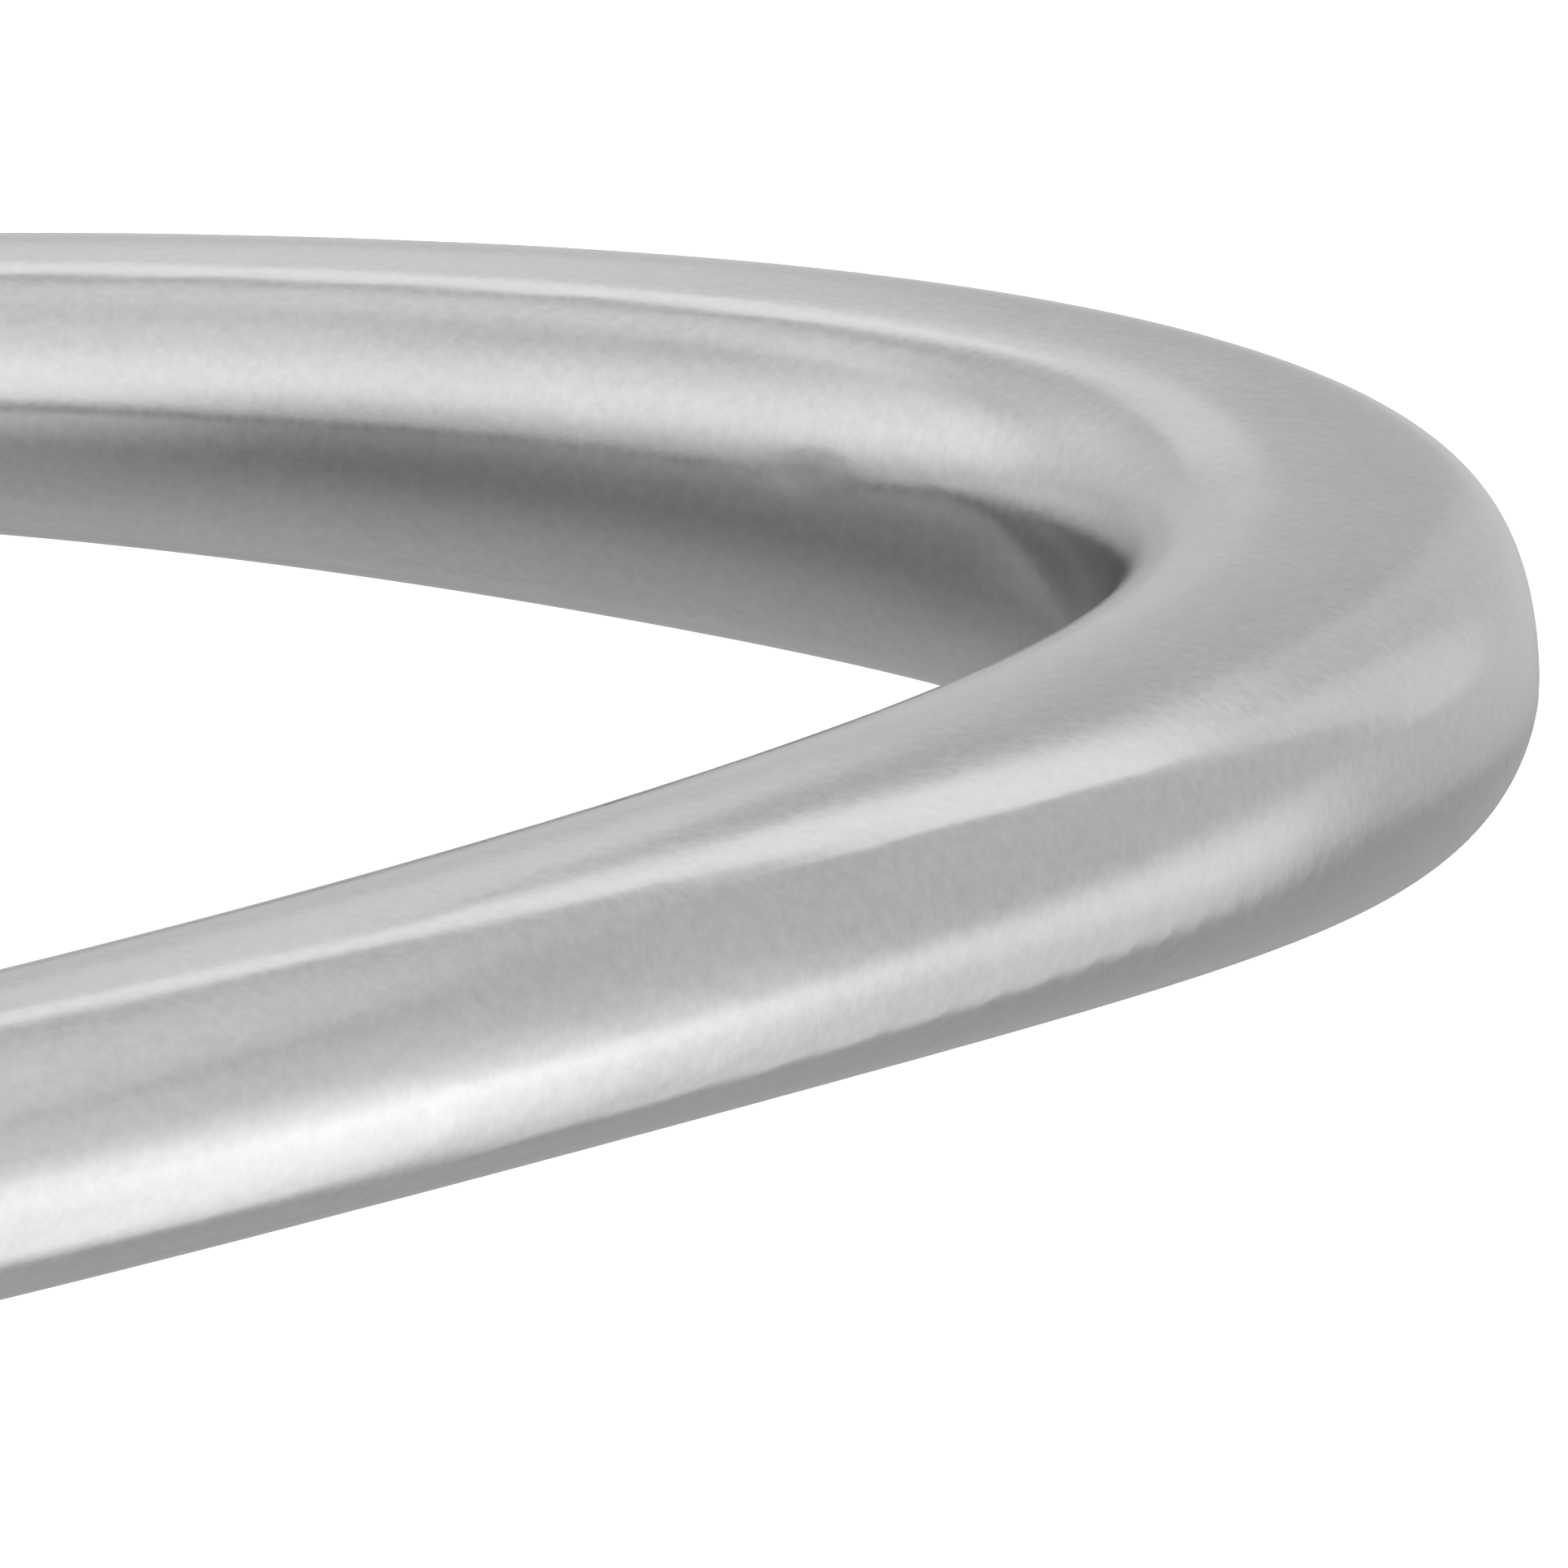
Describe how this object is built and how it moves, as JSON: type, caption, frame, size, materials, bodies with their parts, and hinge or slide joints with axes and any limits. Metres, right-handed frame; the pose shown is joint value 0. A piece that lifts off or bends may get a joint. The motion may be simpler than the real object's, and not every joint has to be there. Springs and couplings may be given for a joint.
{
  "type": "thimble eye",
  "caption": "Swivelling thimble eye: a smooth forged oval loop on a ball-bearing hub that turns on a collared M12 stud.",
  "frame": {"origin": "centre of the base collar's seat, on the swivel axis", "axes": "+X along the swivel axis from the seat to the bow; +Z square to the flat of the eye"},
  "size_m": [0.165, 0.0606, 0.037],
  "materials": {
    "forged_satin": "satin tumbled stainless steel",
    "turned_steel": "fine turned stainless steel",
    "bright_steel": "bright stainless steel",
    "ground_steel": "ground and polished bearing steel",
    "bronze": "turned bearing bronze",
    "cage_brass": "machined brass",
    "seal_rubber": "matt nitrile rubber"
  },
  "bodies": {
    "base": {"swivel_bolt": "turned_steel", "base_collar": "forged_satin", "collar_pin": "bright_steel", "thrust_washer": "bronze", "base_seal": "seal_rubber", "bearing_shaft_washer": "ground_steel"},
    "eye": {"thimble_eye": "forged_satin", "hub_bushing": "bronze", "bearing_housing_washer": "ground_steel", "bearing_cover": "turned_steel", "cover_seal": "seal_rubber", "grease_nipple": "bright_steel", "nipple_ball": "ground_steel"},
    "cage": {"ball_cage": "cage_brass", "bearing_ball_01": "ground_steel", "bearing_ball_02": "ground_steel", "bearing_ball_03": "ground_steel", "bearing_ball_04": "ground_steel", "bearing_ball_05": "ground_steel", "bearing_ball_06": "ground_steel", "bearing_ball_07": "ground_steel", "bearing_ball_08": "ground_steel", "bearing_ball_09": "ground_steel", "bearing_ball_10": "ground_steel", "bearing_ball_11": "ground_steel", "bearing_ball_12": "ground_steel"}
  },
  "joints": [
    {"name": "eye_swivel", "type": "hinge", "parent": "base", "child": "eye", "pos_m": [0.02, 0, 0], "axis": [1, 0, 0], "continuous": true},
    {"name": "cage_spin", "type": "hinge", "parent": "base", "child": "cage", "pos_m": [0.03425, 0, 0], "axis": [1, 0, 0], "continuous": true}
  ],
  "couplings": [
    {"joint": "cage_spin", "follows": "eye_swivel", "ratio": 0.5}
  ]
}
